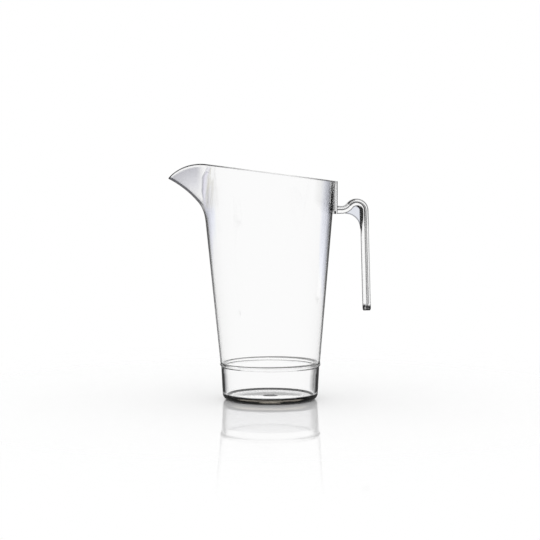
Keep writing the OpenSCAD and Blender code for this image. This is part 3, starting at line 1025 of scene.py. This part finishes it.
def handle_lines(finish, along, up):
    """Painted shade in dark lines along the crest and the grip: the inside of the crest is painted nearly
    black, its rising outside is painted dark, a painted line follows the step between rib and strip, and
    the tip is painted dark."""
    x = finish.math("SUBTRACT", along, CREST_X)
    h = finish.math("SUBTRACT", up, CREST_H)
    x = finish.math("MULTIPLY_ADD", finish.math("MINIMUM", h, 0), math.tan(GRIP_SPLAY), x)
    above = finish.math("MAXIMUM", h, 0)
    depth = finish.math("SUBTRACT", finish.distance(x, above), CREST_R - RIB_T)
    crest = finish.rise(finish.math("MULTIPLY_ADD", x, 0.75, h), -0.3, 0.3)
    step = finish.fall(finish.math("ABSOLUTE", finish.math("SUBTRACT", depth, RIB_T)), 0.3, 0.8)
    step = finish.times(step, finish.math("MAXIMUM", crest, finish.rise(x, 0.5, 1.5)))
    light = finish.dim(WHITE, finish.shares(up, [(175, 0.7), (196, 0.3)], 90, 220), step)
    wide = finish.times(finish.spread(up, 176, 198, 0.9, 3.4), finish.spread(up, 199, 206, 1, 0.45))
    inside = finish.times(
        finish.fall(finish.math("SUBTRACT", depth, wide), -0.4, 0.4), finish.rise(depth, -1.2, -0.4),
        finish.rise(x, -1, 2), finish.rise(up, 170, 182),
    )
    light = finish.dim(light, (0.006, 0.006, 0.005), inside)
    flank = finish.times(
        crest, finish.fall(x, -3, 0), finish.rise(depth, 5.4, 6.2), finish.fall(depth, 8.6, 9.4)
    )
    light = finish.dim(light, grey(0.03), flank)
    tip = finish.shares(up, [
        (95.2, 0.06), (96.3, 0.36), (97.6, 0.06), (99.2, 0.06), (101.2, 1),
    ], 90, 110)
    return finish.mix(1, light, tip, "MULTIPLY")


def far_along(finish, place):
    """A place on the far side, moved to the place that lies before it on the near side when the
    jug is seen from its side, with the spout on the left."""
    return finish.math("SUBTRACT", place["Along"], 0.7)


def handle_finish():
    finish = Finish("clear_handle_plastic")
    place = finish.place()
    face = finish.node("ShaderNodeNewGeometry")
    light = handle_lines(finish, far_along(finish, place), place["Up"])
    # Painted shade: the handle's faces darker where they are seen edge on, and light turned back inside
    # painted grey
    slanted = finish.shares(finish.slant(), [(0.10, 0.25), (0.30, 0.65), (0.50, 1)])
    return finish.clear(grey(0.6), grey(0.45), slanted, light, face.outputs["Backfacing"])


def handle_edge_finish():
    """The rounded edges of the handle, with painted shade where they turn the light aside, most of all in
    the bends.
    """
    finish = Finish("clear_handle_edge")
    place = finish.place()
    slant = finish.slant()
    grip = finish.shares(slant, [(0.15, 0.30), (0.5, 0.55), (0.8, 0.85), (0.95, 1)])
    bends = finish.shares(slant, [(0.15, 0.05), (0.5, 0.14), (0.8, 0.45), (0.95, 1)])
    light = finish.mix(finish.rise(place["Up"], 180, 198), grip, bends)
    light = finish.mix(1, light, handle_lines(finish, place["Along"], place["Up"]), "MULTIPLY")
    return finish.clear(grey(0.6), grey(0.45), light)


def web_finish():
    """The thin web under the crest is painted a bluish grey at every face, as painted shade, with a painted
    dark line along its free edge.
    """
    finish = Finish("clear_web_plastic")
    place = finish.place()
    x = finish.math("SUBTRACT", place["Along"], CREST_X + CREST_R - RIB_T - GUSSET_R)
    h = finish.math("SUBTRACT", place["Up"], PLATE_BOTTOM - GUSSET_R)
    light = finish.shares(finish.distance(x, h), [(GUSSET_R + 0.8, 0.45), (GUSSET_R + 1.4, 1)], 10, 25)
    light = finish.mix(1, light, handle_lines(finish, place["Along"], place["Up"]), "MULTIPLY")
    return finish.clear(grey(0.6), grey(0.45), light, every_face=(0.78, 0.80, 0.86))


def plate_finish():
    """The plate's sides have painted shade: grey beside the wall, with a brighter line before their outer
    edge, and painted dark spots at their lower end."""
    finish = Finish("clear_plate_side")
    place = finish.place()
    side = finish.shares(place["Along"], [(66.7, 0.3), (68.4, 0.8), (69.5, 0.3), (70.4, 0.45)], 60, 72)
    foot = finish.shares(place["Along"], [
        (64.4, 0.04), (65.4, 0.6), (66.7, 0.6), (67.2, 0.02), (69.8, 0.02), (70.3, 0.4),
    ], 60, 72)
    light = finish.mix(finish.fall(place["Up"], 198.8, 199.6), side, foot)
    return finish.clear(grey(0.8), grey(0.7), light)


def painted_crease_and_corner_shade(name, colour):
    """Clear plastic with painted shade, darker at a crease or a thick corner, but not in what it mirrors.
    """
    finish = Finish(name)
    path = finish.node("ShaderNodeLightPath")
    turned = finish.math("GREATER_THAN", path.outputs["Glossy Depth"], 0.5)
    finish.put(finish.mix(turned, colour, WHITE), finish.shader.inputs["Base Color"])
    return finish.material


base_plastic = cup_finish()
body_plastic = body_finish()
spout_plastic = spout_finish()
handle_plastic = handle_finish()
handle_edge_plastic = handle_edge_finish()
plate_plastic = plate_finish()
web_plastic = web_finish()
# Painted shade: dark lines at the ring's crease, the floor's corner and the gate recess
ring_crease = painted_crease_and_corner_shade("ring_crease", grey(0.06))
floor_corner = painted_crease_and_corner_shade("floor_corner", grey(0.004))
# Painted shade: a dark spot over the gate recess
gate_painted_shade = painted_crease_and_corner_shade("gate_painted_shade", grey(0.1))
gate_painted_shade.node_tree.nodes["Principled BSDF"].inputs["IOR"].default_value = 1.01
joint = welded_joint()

base_cup = make_base_cup()
finish_piece(base_cup, base_plastic, "base_cup")
body = make_body()
finish_piece(body, body_plastic, "body_shell")
spout = make_spout()
finish_piece(spout, spout_plastic, "pour_spout")
handle = make_handle()
finish_piece(handle, handle_plastic, "handle")


def reach(face):
    return math.hypot(face.center.x, face.center.y) / MM


def height(face):
    return face.center.z / MM


def in_rebate(face):
    r, h = reach(face), height(face)
    beside_tongue = abs(r - TONGUE_R) < 0.2 and CUP_H - TONGUE_D < h < CUP_H - 0.2
    under_tongue = abs(h - CUP_H + TONGUE_D) < 0.1 and BORE_R - 0.1 < r < TONGUE_R + 0.2
    return beside_tongue or under_tongue


def in_floor_corner(face):
    return 42 < reach(face) < 46.4 and FLOOR_T + 0.005 < height(face) < FLOOR_T + 1.9


def over_gate(face):
    return reach(face) < GATE_R + 0.5 and height(face) > FLOOR_T - 0.1


def in_ring_crease(face):
    return 49.3 < reach(face) < 50.4 and LEDGE_H < height(face) < LEDGE_H + 1.3


def in_groove(face):
    return CUP_H - 0.2 < height(face) < CUP_H + SEAM_H + 0.1 and reach(face) > TONGUE_R - 0.1


def upright(co):
    """A point in the body wall's own frame, before its lean."""
    x, h = co.x, co.z - LEDGE_H * MM
    c, s = math.cos(BODY_LEAN), math.sin(BODY_LEAN)
    return x * c + h * s, co.y, h * c - x * s


def in_window_edge(face):
    x, y, h = upright(face.center)
    turn = abs(math.degrees(math.atan2(y, -x)))
    beside_spout = h > PANEL_RISE * MM and abs(turn - SEAM_TURN) < 0.05
    under_spout = abs(h - PANEL_RISE * MM) < 0.05 * MM and turn < SEAM_TURN + 0.1
    return beside_spout or under_spout


set_faces(base_cup, joint, in_rebate)
# The floor's corner and the gate recess get painted shade
set_faces(base_cup, floor_corner, in_floor_corner)
set_faces(base_cup, gate_painted_shade, over_gate)
set_faces(body, joint, lambda face: in_rebate(face) or in_window_edge(face))
# The ring's crease gets painted shade
set_faces(body, ring_crease, in_ring_crease)
set_faces(body, base_plastic, in_groove)
set_faces(spout, joint, in_window_edge)

# Stage

scene = bpy.context.scene
scene.view_settings.view_transform = "Standard"


def studio_world():
    """White all round. Only what a first face mirrors from below is dark, and that draws the
    outline of the clear plastic."""
    world = bpy.data.worlds.new("studio")
    scene.world = world
    world.use_nodes = True
    nodes = Nodes(world.node_tree)
    path = nodes.node("ShaderNodeLightPath")
    way = nodes.node("ShaderNodeSeparateXYZ")
    nodes.put(nodes.node("ShaderNodeTexCoord").outputs["Generated"], way.inputs[0])
    mirrored = nodes.math("GREATER_THAN", path.outputs["Glossy Depth"], 0.5)
    outside = nodes.math("LESS_THAN", path.outputs["Transmission Depth"], 0.5)
    below = nodes.spread(way.outputs["Z"], -0.02, -0.004, 1, 0)
    colour = nodes.mix(nodes.times(mirrored, outside, below), WHITE, grey(MIRRORED))
    nodes.put(colour, nodes.tree.nodes["Background"].inputs["Color"])


def pale_floor():
    """A white floor with a slight gloss, which fades out into the white of the studio. It is
    plain white through the plastic, and what the plastic mirrors is the studio's."""
    start_clean()
    bpy.ops.mesh.primitive_circle_add(
        vertices=96, radius=FLOOR_REACH, fill_type="NGON", location=(0, 0, -FLOOR_DROP)
    )
    floor = bpy.context.object
    floor.name = "pale_floor"
    material = bpy.data.materials.new("pale_floor")
    material.use_nodes = True
    nodes = Nodes(material.node_tree)
    nodes.tree.nodes.remove(nodes.tree.nodes["Principled BSDF"])
    coords = nodes.node("ShaderNodeTexCoord")
    away = nodes.node("ShaderNodeVectorMath", operation="LENGTH")
    nodes.put(coords.outputs["Object"], away.inputs[0])
    path = nodes.node("ShaderNodeLightPath")

    def layer(share, first, second):
        both = nodes.node("ShaderNodeMixShader")
        nodes.put(share, both.inputs[0])
        nodes.put(first.outputs[0], both.inputs[1])
        nodes.put(second.outputs[0], both.inputs[2])
        return both

    matt = nodes.node("ShaderNodeBsdfDiffuse")
    matt.inputs["Color"].default_value = (1, 1, 1, 1)
    gloss = nodes.node("ShaderNodeBsdfGlossy")
    gloss.inputs["Color"].default_value = (1, 1, 1, 1)
    gloss.inputs["Roughness"].default_value = 0.03
    white = nodes.node("ShaderNodeEmission")
    nothing = nodes.node("ShaderNodeBsdfTransparent")
    fade = nodes.rise(away.outputs["Value"], *FLOOR_FADE)
    fade = nodes.math("MAXIMUM", fade, path.outputs["Is Glossy Ray"])
    surface = layer(fade, layer(FLOOR_GLOSS, matt, gloss), nothing)
    surface = layer(path.outputs["Is Transmission Ray"], surface, white)
    nodes.put(surface.outputs[0], nodes.tree.nodes["Material Output"].inputs["Surface"])
    floor.data.materials.append(material)


studio_world()
pale_floor()

lens = bpy.data.cameras.new("camera")
camera = bpy.data.objects.new("camera", lens)
scene.collection.objects.link(camera)
lens.sensor_width = 36
lens.angle = LENS_ANGLE
camera.location = CAMERA_PLACE
camera.rotation_euler = (math.radians(90) - CAMERA_PITCH, 0, 0)
scene.camera = camera
